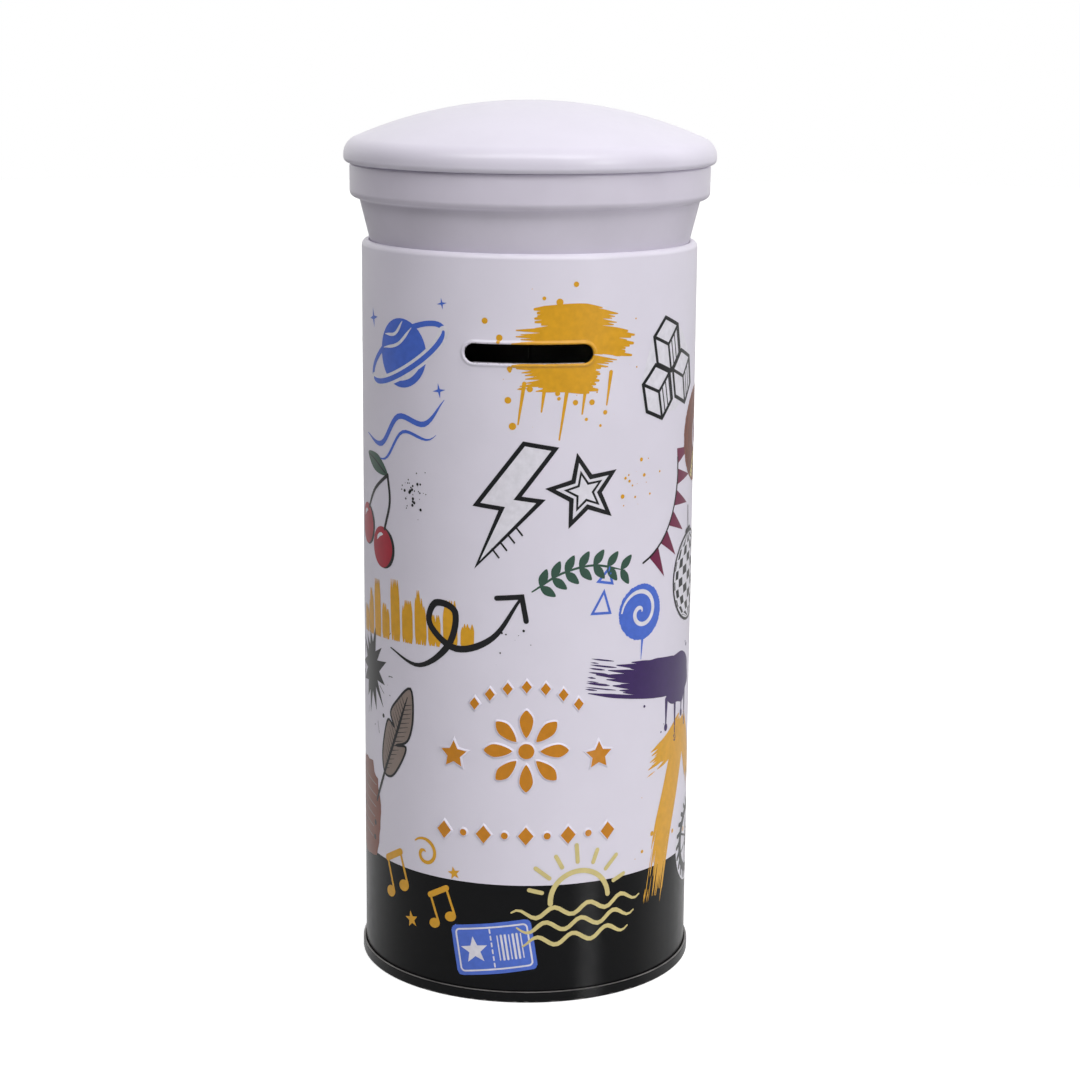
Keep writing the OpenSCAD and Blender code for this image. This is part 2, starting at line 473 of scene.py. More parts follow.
class Shader(Nodes):
    """A material's node tree, with short calls for the nodes that the finishes use."""

    def __init__(self, name):
        self.material = bpy.data.materials.new(name)
        super().__init__(self.material)
        self.bsdf = self.tree.nodes["Principled BSDF"]
        self.where = self.add("TexCoord").outputs["Object"]

    def set(self, **values):
        for key, value in values.items():
            self.join(value, self.bsdf.inputs[key.replace("_", " ")])

    def scaled(self, x, y, z):
        node = self.add("VectorMath", operation="MULTIPLY")
        self.join(self.where, node.inputs[0])
        node.inputs[1].default_value = (x, y, z)
        return node.outputs[0]

    def noise(self, size_mm, detail=2.0, stretch=(1, 1, 1)):
        """Noise with features about size_mm across, longer along an axis where stretch is above 1."""
        node = self.add("TexNoise")
        node.inputs["Scale"].default_value = 1 / (size_mm * MM)
        node.inputs["Detail"].default_value = detail
        self.join(self.scaled(*[1 / k for k in stretch]), node.inputs["Vector"])
        return node.outputs["Fac"]

    def spread(self, noise, low=0.0, high=1.0):
        """Noise, most of which lies between 0.3 and 0.7, spread from low to high."""
        return self.remap(noise, 0.3, 0.7, low, high)

    def mix(self, share, a, b):
        node = self.add("Mix", data_type="RGBA")
        self.join(share, node.inputs["Factor"])
        for value, socket in ((a, "A"), (b, "B")):
            sockets = [i for i in node.inputs if i.name == socket and i.type == "RGBA"]
            self.join(value, sockets[0])
        return [o for o in node.outputs if o.type == "RGBA"][0]

    def bump(self, height, depth_mm):
        node = self.add("Bump")
        node.inputs["Distance"].default_value = depth_mm * MM
        self.join(height, node.inputs["Height"])
        self.join(node.outputs["Normal"], self.bsdf.inputs["Normal"])


def darker(colour, k):
    """A linear colour, k times as bright."""
    return tuple(c * k for c in colour[:3]) + (1,)


def lacquer(name, colour, rough=0.3, cloud=0.04, ior=1.5, wear_and_highlight=None):
    """Gloss lacquer: faint clouding, orange peel, and bare metal where wear_and_highlight is 1, which marks
    wear, and a painted highlight on the base seam's crest.
    """
    s = Shader(name)
    clouds = s.spread(s.noise(14, 3))
    tone = s.mix(clouds, darker(colour, 1 - cloud), darker(colour, 1 + cloud / 2))
    if wear_and_highlight:
        bare = wear_and_highlight(s)
        tone = s.mix(bare, tone, linear(176, 172, 170))
        s.set(Metallic=s.math("MULTIPLY", bare, 0.9))
    # a range that crosses 0.27 makes the denoiser draw grey flecks
    smears = s.spread(s.noise(3, 3), rough - 0.02, rough + 0.05)
    s.set(Base_Color=tone, Roughness=smears, IOR=ior)
    s.bump(s.math("ADD", s.noise(1.1, 1), s.math("MULTIPLY", s.noise(6, 1), 2.0)), 0.003)
    return s.material


def slot_wear(s):
    """1 in small chips along the slot's edge, where coins have scraped it."""
    x, y, z = s.split(s.where)
    beyond = s.math("SUBTRACT", s.math("ABSOLUTE", x), (SLOT_L - SLOT_W) / 2 * MM)
    beyond = s.math("MAXIMUM", beyond, 0.0)
    height = s.math("SUBTRACT", z, SLOT_Z * MM)
    square = s.math("MULTIPLY_ADD", beyond, beyond, s.math("MULTIPLY", height, height))
    away = s.math("SUBTRACT", s.math("SQRT", square), SLOT_W / 2 * MM)
    near = s.remap(away, 0.05 * MM, 0.45 * MM, 1, 0)
    front = s.math("LESS_THAN", y, 0.0)
    chips = s.remap(s.noise(0.5, 3), 0.55, 0.62)
    return s.math("MULTIPLY", s.math("MULTIPLY", near, chips), front)


def foot_wear_and_crest_highlight(s):
    """1 in small spots of wear along the edge that the tin stands on; less along the seam's crest, where
    the bare metal is a painted highlight.
    """
    z = s.split(s.where)[2]
    low = s.remap(z, 0.05 * MM, 0.5 * MM, 1, 0)
    spots = s.remap(s.noise(1.6, 4), 0.52, 0.62)
    on_seam = s.math("LESS_THAN", z, (SEAM_H + 0.1) * MM)
    crest = s.math("MULTIPLY", s.remap(z, (SEAM_H - 0.22) * MM, (SEAM_H - 0.04) * MM), on_seam)
    # painted highlight: a line of bare metal along the seam's crest stands for the light that the crest
    # catches
    crest_highlight = s.math("MULTIPLY", crest, s.spread(s.noise(4, 2), 0.25, 0.6))
    return s.math("MAXIMUM", s.math("MULTIPLY", low, spots), crest_highlight)


def tinplate(name):
    """Bright bare tinplate with fine rolling marks along the tin."""
    s = Shader(name)
    lines = s.noise(0.35, 3, (1, 1, 40))
    s.set(Base_Color=s.mix(s.noise(9, 3), linear(186, 184, 178), linear(212, 210, 204)))
    s.set(Metallic=1.0, Roughness=s.spread(lines, 0.29, 0.43))
    s.bump(lines, 0.002)
    return s.material


def ink(name, colour, rough=0.3, mottle=0.07):
    """Printed ink under the lacquer: a slightly uneven solid."""
    s = Shader(name)
    uneven = s.spread(s.noise(1.7, 4))
    tone = s.mix(uneven, darker(colour, 1 - mottle), darker(colour, 1 + mottle))
    s.set(Base_Color=tone, Roughness=rough, IOR=1.5)
    return s.material


WHITE = lacquer("white_lacquer", linear(227, 222, 235), cloud=0.02, wear_and_highlight=slot_wear)
# painted shade: the lid's and the collar's whites are darker copies of the tube's white lacquer, slightly
# for the upward-facing dome and more for the collar, whose neck lies in shade under the cornice
LID_SHADED_WHITE = lacquer("lid_lacquer", linear(224, 219, 233), cloud=0.02)
NECK_SHADED_WHITE = lacquer("collar_lacquer", linear(214, 208, 222))
GOLD = ink("gold_lacquer", linear(200, 128, 12), rough=0.25)
BLACK = lacquer("black_lacquer", linear(6, 7, 9), rough=0.2, cloud=0.1, ior=1.28)
# the base's line of bare metal on the seam's crest is a painted highlight; its spots at the foot are wear
BASE_BLACK = lacquer("base_lacquer", linear(6, 7, 9), rough=0.18, cloud=0.1, ior=1.3, wear_and_highlight=foot_wear_and_crest_highlight)
TIN = tinplate("bare_tinplate")

# ---- the shells ----

shell("tube", "box", "body_tube", tube_path(), WHITE, TIN, with_slot=True)
shell("base", "box", "base_end", base_path(), BASE_BLACK, TIN)
shell("neck_and_cornice", "box", "collar", collar_path(), NECK_SHADED_WHITE, TIN)
shell("dome", "lid", "dome_cap", dome_path(), LID_SHADED_WHITE, TIN)
shell("lid_plug", "lid", "plug_ring", plug_path(), TIN, TIN)

# ---- prints ----


def fill(regions):
    """Triangles that cover the regions, cut along the tube's grid lines. A region is a list of loops."""
    points, edges = [], []
    for region in regions:
        add_loops(points, edges, region)
    flat = np.array(points)
    lo, hi = flat.min(0), flat.max(0)
    if lo[0] < SLOT_L / 2 + BEAD_W and hi[0] > -SLOT_L / 2 - BEAD_W and lo[1] < SLOT_Z < hi[1]:
        add_loops(points, edges, bead_rings())
    for s in LINES:
        if lo[0] < s < hi[0]:
            first = len(points)
            points += [(s, lo[1] - 1), (s, hi[1] + 1)]
            edges.append((first, first + 1))
    flat, corners = flat_mesh(points, edges)
    middle = flat[corners].mean(1)
    keep = np.zeros(len(corners), bool)
    for region in regions:
        keep |= winding(middle, region) != 0
    near = np.abs(middle[:, 0]) < SLOT_L
    x = BODY_R * np.sin(middle[:, 0] / BODY_R)
    keep &= ~(near & (from_slot(x, middle[:, 1]) < 0.02))
    return flat, corners[keep]


def winding(points, loops):
    """How often the loops turn round each point."""
    total = np.zeros(len(points), int)
    for loop in loops:
        a = np.asarray(loop, float)
        b = np.roll(a, -1, axis=0)
        x, y = points[:, :1], points[:, 1:]
        rise = (b[:, 1] > y).astype(int) - (a[:, 1] > y).astype(int)
        slope = (b[:, 0] - a[:, 0]) / np.where(b[:, 1] == a[:, 1], 1, b[:, 1] - a[:, 1])
        total += np.where(x < a[:, 0] + slope * (y - a[:, 1]), rise, 0).sum(1)
    return total


PRINT_LIFT = 0.02  # height of the lowest ink over the tube
LAYER = 0.015  # height from one layer of ink to the next


def print_ink(name, layers, material):
    """One ink, as (level, regions) rows, laid round the tube."""
    places, normals, faces = [], [], []
    for level, regions in layers:
        flat, corners = fill(regions)
        used, corners = np.unique(corners, return_inverse=True)
        corners = corners.reshape(-1, 3) + sum(len(p) for p in places)
        s, z = flat[used].T
        lift = PRINT_LIFT + level * LAYER
        places.append(wall_points(s, z, lift))
        normals.append(wall_normals(s, z, lift))
        faces += corners.tolist()
    mesh = bpy.data.meshes.new(name)
    mesh.from_pydata((np.concatenate(places) * MM).tolist(), [], faces)
    mesh.shade_smooth()
    mesh.normals_split_custom_set_from_vertices(np.concatenate(normals).tolist())
    mesh.materials.append(material)
    piece = placed(name, mesh)
    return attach(piece, "box")


def black_band():
    """The band right round the foot, which starts just inside the double seam."""
    low = SEAM_H - 0.6
    corners = ((-HALF_GIRTH, low), (HALF_GIRTH, low), (HALF_GIRTH, BAND_TOP), (-HALF_GIRTH, BAND_TOP))
    print_ink("print_black_band", [(0, [[corners]])], BLACK)


black_band()

# ---- flat shapes in millimetres: a loop is a row of points, a region is a list of loops ----


def arc_line(x, y, r, start=0, end=360, squash=1.0):
    """Points of an arc of a circle, or of an ellipse where squash isn't 1."""
    n = max(6, ceil(abs(end - start) * sqrt(r + 0.5) / 24))
    angles = np.radians(np.linspace(start, end, n + 1))
    return [polar(r, a, x, y, squash) for a in angles]


def disc(x, y, r, squash=1.0):
    """A filled circle, or an ellipse where squash isn't 1."""
    return [arc_line(x, y, r, squash=squash)[:-1]]


def star(x, y, r, points=5, inner=0.42):
    """A star, or a sparkle where inner is small."""
    loop = []
    for i in range(2 * points):
        a = radians(90 + 180 * i / points)
        loop.append(polar(r if i % 2 == 0 else r * inner, a, x, y))
    return [loop]


def rounded(w, h, r):
    """A rectangle with round corners about its middle."""
    loop = []
    for i, (x, y) in enumerate(((1, 1), (-1, 1), (-1, -1), (1, -1))):
        loop += arc_line(x * (w / 2 - r), y * (h / 2 - r), r, 90 * i, 90 * i + 90)
    return [loop]


def curve(points, closed=False, steps=7):
    """A smooth line through the points."""
    p = np.array(points, float)
    p = np.concatenate([p[-1:], p, p[:2]] if closed else [2 * p[:1] - p[1:2], p, 2 * p[-1:] - p[-2:-1]])
    t = np.linspace(0, 1, steps, endpoint=False)[:, None]
    out = [
        0.5 * (2 * b + (c - a) * t + (2 * a - 5 * b + 4 * c - d) * t**2 + (3 * b - a - 3 * c + d) * t**3)
        for a, b, c, d in zip(p, p[1:], p[2:], p[3:])
    ]
    return np.concatenate(out if closed else out + [p[-2:-1]])


def sideways(p, closed):
    """Direction to the left at each point of a line, longer at corners to keep a stroke's width."""
    ahead = np.roll(p, -1, 0) - p
    behind = p - np.roll(p, 1, 0)
    if not closed:
        ahead[-1], behind[0] = behind[-1], ahead[0]
    left = [unit(np.stack([-d[:, 1], d[:, 0]], 1)) for d in (ahead, behind)]
    middle = unit(left[0] + left[1])
    return middle / np.maximum((middle * left[0]).sum(1, keepdims=True), 0.45)


def stroke(line, width, thin=(1, 1), closed=False):
    """What a pen leaves along a line. thin is the share of its width at the two ends."""
    p = np.array(line, float)
    t = np.linspace(0, 1, len(p))[:, None]
    share = np.minimum(1, np.minimum(thin[0] + 3.5 * t, thin[1] + 3.5 * (1 - t)))
    side = sideways(p, closed) * width / 2 * share
    left, right = p + side, p - side
    if closed:
        return [right, left[::-1]]
    caps = []
    for end, reach in ((-1, right[-1] - p[-1]), (0, left[0] - p[0])):
        turn = degrees(atan2(reach[1], reach[0]))
        caps.append(arc_line(*p[end], np.linalg.norm(reach), turn, turn + 180)[1:-1])
    return [np.concatenate([right, caps[0], left[::-1], caps[1]])]


def brush(line, width, rng, hairs, dry):
    """Regions of a dry brush stroke: hairs side by side that run out at different places."""
    p = np.array(line, float)
    side = sideways(p, False)
    out = []
    for k in range(hairs):
        across = (k + 0.5) / hairs - 0.5 + rng.uniform(-0.3, 0.3) / hairs
        track = p + side * across * width
        n = len(track) - 1
        edge = abs(across) * 2
        first = int(n * rng.uniform(0, 0.06 + 0.08 * edge))
        last = int(n * (1 - rng.uniform(0, dry) * (0.4 + edge)))
        last = max(last, first + 3)
        out.append(stroke(track[first:last + 1], width / hairs * rng.uniform(1.35, 1.9), (0.5, 0.2)))
        if last < n - 3 and rng.random() < 0.55:
            again = rng.randint(last + 1, n - 2)
            out.append(stroke(track[again:], width / hairs * rng.uniform(0.3, 0.8), (0.3, 0.1)))
    return out


def rough(loop, depth, rng, pieces=3):
    """A loop with torn edges."""
    out = []
    for a, b in zip(loop, list(loop[1:]) + [loop[0]]):
        a, b = np.array(a, float), np.array(b, float)
        side = np.array([a[1] - b[1], b[0] - a[0]]) / (np.linalg.norm(b - a) + 1e-9)
        for k in range(pieces):
            out.append(tuple(a + (b - a) * k / pieces + side * rng.uniform(-depth, depth)))
    return out


def spray(rng, count, spread, largest, squash=1.0):
    """Regions of fine drops round the origin."""
    out = []
    for _ in range(count):
        a = rng.uniform(0, tau)
        reach = spread * sqrt(rng.random()) * rng.uniform(0.5, 1.3)
        size = largest * rng.uniform(0.15, 1) ** 1.6
        out.append(disc(*polar(reach, a, squash=squash), size))
    return out


def moved(regions, x, y, turn=0, size=1.0):
    """Regions turned by some degrees, scaled and moved."""
    c, s = cos(radians(turn)) * size, sin(radians(turn)) * size
    spin = np.array([[c, s], [-s, c]])
    return [[np.array(loop) @ spin + (x, y) for loop in region] for region in regions]


# ---- motifs, about their own middle, as rows of (ink, level, regions) ----


def planet(rng):
    """A banded planet in its ring, with sparkles."""
    ring = arc_line(0, 0, 13.5, 0, 360, 0.3)
    front = arc_line(0, 0, 13.5, 190, 350, 0.3)
    bands = [
        stroke(curve([(-w, y), (0, y - 1.4), (w, y)]), 0.7, (0.2, 0.2))
        for y, w in ((6.0, 3.6), (3.6, 5.6), (-4.2, 5.4))
    ]
    sparkles = [star(x, y, r, 4, 0.25) for x, y, r in ((-10.5, 8.5, 2.2), (9.5, -9, 1.7), (13.5, 9.5, 1.3))]
    return [
        ("blue", 1, [disc(0, 0, 7.6)] + sparkles),
        ("blue", 1, moved([stroke(ring[:-1], 1.2, closed=True)], 0, 0, 18)),
        ("white", 2, moved(bands + [stroke(front, 2.6)], 0, 0, 18)),
        ("blue", 3, moved([stroke(front, 1.2, (0.6, 0.6))], 0, 0, 18)),
    ]


def swoosh(rng):
    """Two waving pen lines, one under the other."""
    lines = [curve([(-17, 4 - y), (-9, -1 - y), (1, 3 - y), (9, -1.5 - y), (17, 2 - y)]) for y in (0, 4)]
    return [("blue", 1, [stroke(lines[0], 1.4, (0.15, 0.1)), stroke(lines[1][4:-5], 0.8, (0.15, 0.1))])]


def scrub(rng):
    """An ochre patch scrubbed on with a broad brush, with its runs and drops."""
    paint = []
    for k, (x, y, length) in enumerate(((-9, 8, 21), (-14, 3.5, 31), (-15, -1.5, 29), (-11, -6.5, 20))):
        line = curve([(x, y), (x + length / 2, y + 2.5), (x + length, y + 3)], steps=14)
        paint += brush(line[::-1] if k % 2 else line, 6.6, rng, 9, 0.22)
    runs = [
        stroke([(x, y), (x + 0.3, y - length)], 1.0, (1, 0.4))
        for x, y, length in ((-9, -7, 10), (-4, -7, 6), (1.5, -6, 13), (6, -5, 7), (12, -1, 8))
    ]
    return [("ochre", 1, paint + runs + spray(rng, 60, 21, 0.9, 0.85))]


def bolt(rng):
    """A flash in outline, with a hatched shadow."""
    loop = [(1, 15), (-7, -0.5), (-1.2, -0.2), (-4.5, -14), (7, 3), (1.8, 2.8), (8, 15)]
    starts = ((-1.7, -9.6), (-0.3, -7.6), (1.1, -5.6), (2.5, -3.6))
    hatch = [stroke([(x, y), (x + 1.8, y - 1.6)], 0.4) for x, y in starts]
    return [("white", 2, [[loop]]), ("black", 3, [stroke(loop, 1.0, closed=True)] + hatch)]


def open_star(rng):
    """A star in a double outline."""
    outline, inner = (star(0, 0, r, 5, 0.45)[0] for r in (7.5, 4.1))
    lines = [stroke(outline, 1.0, closed=True), stroke(inner, 0.5, closed=True)]
    return [("white", 2, [[outline]]), ("black", 3, lines)]


def cubes(rng):
    """Three stacked blocks in outline, with one side hatched."""
    out = []
    for x, y in ((-5.2, 0), (5.2, 0), (0, 9)):
        corners = [(x + 5.2 * sin(a), y + 6 * cos(a)) for a in np.radians(range(0, 360, 60))]
        out.append(stroke(corners, 0.8, closed=True))
        out += [stroke([(x, y), corners[i]], 0.7) for i in (1, 3, 5)]
        for k in (0.25, 0.5, 0.75):
            out.append(stroke([(x + 5.2 * k, y + 3 * k), (x + 5.2 * k, y + 3 * k - 5.6)], 0.35))
    edge = [(-10.4, -3), (-10.4, 3), (-5.2, 12), (0, 15), (5.2, 12), (10.4, 3), (10.4, -3), (0, -6)]
    return [("white", 2, [[edge]]), ("black", 3, out)]


def sprig(rng):
    """A leafy twig."""
    line = curve([(-13, -3), (-5, 0.5), (4, 1), (13, -2.5)])
    leaves = []
    for k in range(7):
        x, y = line[2 + 3 * k]
        for turn in (52, -52):
            leaf = [curve([(0, 0), (2.2, 1.2), (4.9, 0), (2.2, -1.2)], closed=True, steps=4)]
            leaves += moved([leaf], x, y, turn - 4 * k + 10)
    return [("green", 1, [stroke(line, 0.6, (0.6, 0.3))] + leaves)]


def cherries(rng):
    """Two cherries on their stems, with a leaf."""
    middles = ((-5, -5.5), (4.6, -7))
    fruit = [disc(x, y, 4.6) for x, y in middles]
    shine = [stroke(arc_line(x, y, 2.9, 100, 165), 0.8, (0.3, 0.3)) for x, y in middles]
    rims = [stroke(arc_line(x, y, 4.6, -70, 95), 0.9, (0.1, 0.1)) for x, y in middles]
    stems = [
        stroke(curve([foot, bow, (3, 9.5)]), 0.8)
        for foot, bow in (((-4.6, -1.4), (-2, 4)), ((4.6, -2.6), (5.2, 4)))
    ]
    leaf = curve([(3, 9.5), (-2, 12.2), (-8, 10.4), (-3, 8.2)], closed=True)
    vein = stroke(curve([(2, 9.6), (-3, 10.5), (-7, 10.4)]), 0.35)
    return [
        ("crimson", 1, fruit),
        ("black", 2, rims + stems),
        ("white", 2, shine),
        ("green", 1, [[leaf]]),
        ("black", 2, [vein]),
    ]


def record(rng):
    """A brown record with its grooves, two glints and a maroon label."""
    starts = ((9.6, 20), (8.5, 200), (7.4, 80), (6.3, 300), (5.3, 140))
    grooves = [stroke(arc_line(0, 0, r, a, a + 250), 0.22) for r, a in starts]
    glint = [(1.5, 4.2), (3.4, 9.8), (5.6, 8.7), (2.4, 3.8)]
    opposite = [(-x, -y) for x, y in glint]
    hole = disc(0, 0, 0.6)[0][::-1]
    return [
        ("copper", 1, [[rough(disc(0, 0, 10.8)[0], 0.12, rng)]]),
        ("black", 2, grooves),
        ("pale_gold", 2, [[glint], [opposite]]),
        ("white", 3, [disc(0, 0, 3.6)]),
        ("maroon", 4, [disc(0, 0, 2.5) + [hole]]),
    ]


def bunting(rng):
    """Maroon pennants on a string."""
    line = arc_line(0, 16, 21, -128, -52)
    flags = []
    for k in range(6):
        start = -122 + 13.2 * k
        corners = ((21, start), (21, start + 10), (28.5, start + 5))
        flags.append([[polar(r, radians(a), 0, 16) for r, a in corners]])
    return [("maroon", 1, flags), ("black", 2, [stroke(line, 0.5)])]


def mirror_ball(rng):
    """A ball of black and white tiles on its thread."""
    tiles = []
    rows = 9
    for i in range(rows):
        low, high = (asin(2 * (i + k) / rows - 1) for k in (0.06, 0.94))
        for j in range(rows):
            if (i + j) % 2:
                continue
            a, b = (radians(-90 + 180 * (j + k) / rows) for k in (0.06, 0.94))
            corners = ((a, low), (b, low), (b, high), (a, high))
            tiles.append([[(9.6 * sin(u) * cos(v), 9.6 * sin(v)) for u, v in corners]])
    lines = [
        stroke(disc(0, 0, 10)[0], 0.6, closed=True),
        stroke([(0, 10), (0, 16)], 0.4),
        stroke([(-1.6, 10.4), (1.6, 10.4)], 1.2),
    ]
    return [("white", 2, [disc(0, 0, 10)]), ("black", 3, tiles + lines)]


def sound_bars(rng):
    """A row of ochre bars of different heights, each a short dry stroke."""
    heights = (7, 12, 15, 9, 16, 11, 14, 8, 12, 6)
    out = []
    for k, h in enumerate(heights):
        line = [(4.1 * k - 18.4 + 0.5 * t, h * t - 7) for t in np.linspace(0, 1, 9)]
        out += brush(line, 3.1, rng, 5, 0.22)
    return [("ochre", 1, out)]


def whip(rng):
    """A black brush line with a loop and an arrow's head."""
    line = curve([(-22, -2), (-12, -7), (-2, -3), (2, 5), (-3, 8), (-6, 3), (0, -4), (10, -3), (19, 5)])
    head = [stroke([(13.5, 6.6), (19.6, 5.6), (19.2, -0.6)], 1.3)]
    return [("black", 3, [stroke(line, 1.7, (0.2, 0.4))] + head + moved(spray(rng, 10, 6, 0.35), 14, -6))]


def lolly(rng):
    """A blue disc with a white spiral, and two triangles beside it."""
    spiral = [polar(0.62 * a, a) for a in np.linspace(0.4, 9.2, 46)]
    triangles = [[(-13, 3), (-9.5, 7.4), (-8.6, 2.2)], [(-10.6, 10), (-7.6, 12.4), (-7.2, 8.8)]]
    blue = [[rough(disc(0, 0, 6.5)[0], 0.1, rng)], stroke([(-0.4, -6.4), (-1.4, -11)], 0.7, (1, 0.2))]
    blue += [stroke(t, 0.6, closed=True) for t in triangles]
    return [("blue", 1, blue), ("white", 2, [stroke(spiral, 1.0, (0.3, 0.4))])]


def blot(rng):
    """A purple blot with a ragged tail, runs and drops."""
    tail = curve([(-20, 8), (-11, 5.5), (-1, 3), (9, 1)], steps=9)
    edge = []
    for a in np.radians(range(0, 360, 24)):
        reach = rng.uniform(7, 9.6)
        edge.append(polar(reach, a, 11, -0.5, 0.8))
    runs = []
    for x, length in ((4.5, 6), (9, 10), (13.5, 5), (16, 8)):
        runs.append(stroke([(x, -4), (x - 0.6, -5 - length)], 1.3, (1, 0.3)))
        runs.append(disc(x - 0.6, -5 - length, 0.75, 1.3))
    body = [curve(edge, closed=True, steps=5)]
    paint = brush(tail[::-1], 9.5, rng, 13, 0.5) + [body] + runs
    drops = moved(spray(rng, 18, 15, 0.6, 0.7), 12, -3)
    return [("purple", 1, paint + drops)]


def feather(rng):
    """A grey feather with a dark edge, fine barbs and two splits."""
    edge = curve(
        [(0, -9), (3, -7.4), (4.5, -2), (4.3, 1.8), (1.3, 0.2), (4.2, 3.6), (3.5, 9.5), (0, 15.5),
         (-2.9, 10), (-3.8, 6), (-1.3, 3.8), (-4, 3.8), (-3.9, -1), (-2.6, -6)], closed=True, steps=5)
    barbs = []
    for y in np.arange(-7.5, 12, 1.3):
        reach = 3.0 * sin(pi * (y + 11) / 28)
        barbs += [stroke([(0, y), (side * reach, y + 0.8 * reach)], 0.22, (1, 0.4)) for side in (-1, 1)]
    shaft = stroke(curve([(-0.8, -18), (-0.2, -8), (0.2, 2), (0, 13)]), 0.8, (0.8, 0.3))
    return [("taupe", 2, [[edge]]), ("black", 3, barbs + [stroke(edge, 0.55, closed=True), shaft])]


def torn_paper(rng):
    """A scrap of brown ruled paper."""
    edge = [(-9, -11), (-2, -12), (8, -9), (9, 0), (6, 9), (1, 12), (-8, 9), (-10, 0)]
    outline = rough(edge, 0.9, rng, 5)
    rules = []
    for k in range(6):
        y = 6.5 - 2.6 * k
        rules.append(stroke([(-7.5 + 0.2 * k, y), (6 - 0.3 * abs(k - 2), y + 0.8)], 0.3))
    drops = moved(spray(rng, 14, 10, 0.7), 0, -2)
    return [("copper", 1, [[outline]]), ("taupe", 2, rules), ("black", 2, drops)]


def big_arrow(rng):
    """An arrow in three sweeps of a broad brush."""
    shaft = curve([(-4, -22), (-3, -8), (0, 6), (3, 19)], steps=9)
    left = curve([(3.5, 20), (-4, 14), (-12, 10)], steps=9)
    right = curve([(3, 20), (9, 12), (13.5, 3)], steps=9)
    paint = brush(shaft[::-1], 7.5, rng, 12, 0.3)
    for side in (left, right):
        paint += brush(side, 5.4, rng, 8, 0.3)
    return [("ochre", 1, paint + spray(rng, 14, 18, 0.6))]


def wheel(rng):
    """A spoked wheel with a toothed rim."""
    teeth = []
    for k in range(22):
        a = tau * k / 22
        teeth.append(stroke([polar(r, a + 0.06 * r) for r in (8.4, 9.8)], 1.1))
    spokes = [stroke([(0, 0), polar(6.6, a)], 0.5) for a in np.radians(range(0, 360, 40))]
    rings = [stroke(arc_line(0, 0, r)[:-1], w, closed=True) for r, w in ((7.6, 2.0), (2.2, 0.6))]
    return [("white", 1, [disc(0, 0, 10.6)]), ("black", 2, teeth + spokes + rings)]


def sunrise(rng):
    """Half a sun over waves, in one pale line."""
    rays = []
    for k in range(7):
        a = radians(18 + 24 * k)
        rays.append(stroke([polar(r, a, 0, 0.5) for r in (9.2, 12.2 + k % 2)], 1.0))
    waves = []
    for row in range(3):
        y = -1.5 - 3.4 * row
        places = np.linspace(-16 + row, 16 - 2 * row, 30)
        line = [(x, y + 1.1 * sin(0.75 * x + 1.6 * row)) for x in places]
        waves.append(stroke(line, 1.0, (0.4, 0.4)))
    return [("pale_gold", 5, [stroke(arc_line(0, 0.5, 7, 0, 180), 1.2)] + rays + waves)]


def ticket(rng):
    """A blue ticket with a star, a torn-off line and a row of bars."""
    case = rough(rounded(21, 13.5, 1.6)[0], 0.1, rng, 2)
    white = [stroke(rounded(18.6, 11.1, 1.0)[0], 0.45, closed=True), star(-5, -0.2, 3.7)]
    white += [stroke([(-0.3, y), (-0.3, y + 0.9)], 0.4) for y in np.arange(-4.9, 4.5, 1.8)]
    white += [stroke([(1.4 + k, -3.2), (1.4 + k, 3.2)], 0.3 + 0.25 * (k * k % 3)) for k in range(7)]
    return [("blue", 3, [[case]]), ("white", 4, white)]


def notes(rng):
    """Two pairs of quavers, a curl and two stars."""
    out = []
    for x, y, k in ((-7, 3, 1.0), (5, -4, 0.85)):
        pair = [disc(-2.4, -3.4, 1.6, 0.8), disc(2.8, -2.6, 1.6, 0.8)]
        pair += [stroke([(-1.1, -3.2), (-1.1, 4)], 0.65), stroke([(4.1, -2.4), (4.1, 4.8)], 0.65)]
        pair.append(stroke([(-1.2, 3.8), (4.2, 4.6)], 1.5))
        out += moved(pair, x, y, 8, k)
    curl = [polar(0.42 * a, a, 4, 8) for a in np.linspace(1, 8.5, 34)]
    out += [stroke(curl, 0.8, (0.3, 0.4)), star(-3, -6.5, 1.9), star(10.5, 3.5, 1.5)]
    return [("ochre", 3, out)]


def halftone(rng):
    """Dots that shrink along a patch."""
    dots = []
    for i in range(9):
        dots += [disc(1.9 * i + (j % 2) * 0.95, 1.65 * j, 0.78 - 0.075 * i) for j in range(7)]
    return [("black", 1, moved(dots, -7, -5))]


def splatter(rng):
    """Black drops."""
    return [("black", 2, spray(rng, 40, 9, 0.75))]


def splash(rng):
    """A dark burst with long thin runs."""
    loop, runs = [], []
    for k in range(26):
        a = radians(360 / 26 * k + rng.uniform(-4, 4))
        reach = rng.uniform(8.5, 13) if k % 2 else rng.uniform(5, 6.5)
        loop.append((0.75 * reach * cos(a), reach * sin(a)))
        if k % 3 == 0:
            far = reach + rng.uniform(2, 7)
            ends = (far, far + rng.uniform(1, 4))
            run = [(0.75 * r * cos(a), r * sin(a)) for r in ends]
            runs.append(stroke(run, 0.4, (0.4, 0.4)))
    return [("black", 0.5, [[loop]] + runs + spray(rng, 20, 15, 0.6))]


def ochre_specks(rng):
    """Ochre drops."""
    return [("ochre", 2, spray(rng, 18, 8, 0.6))]


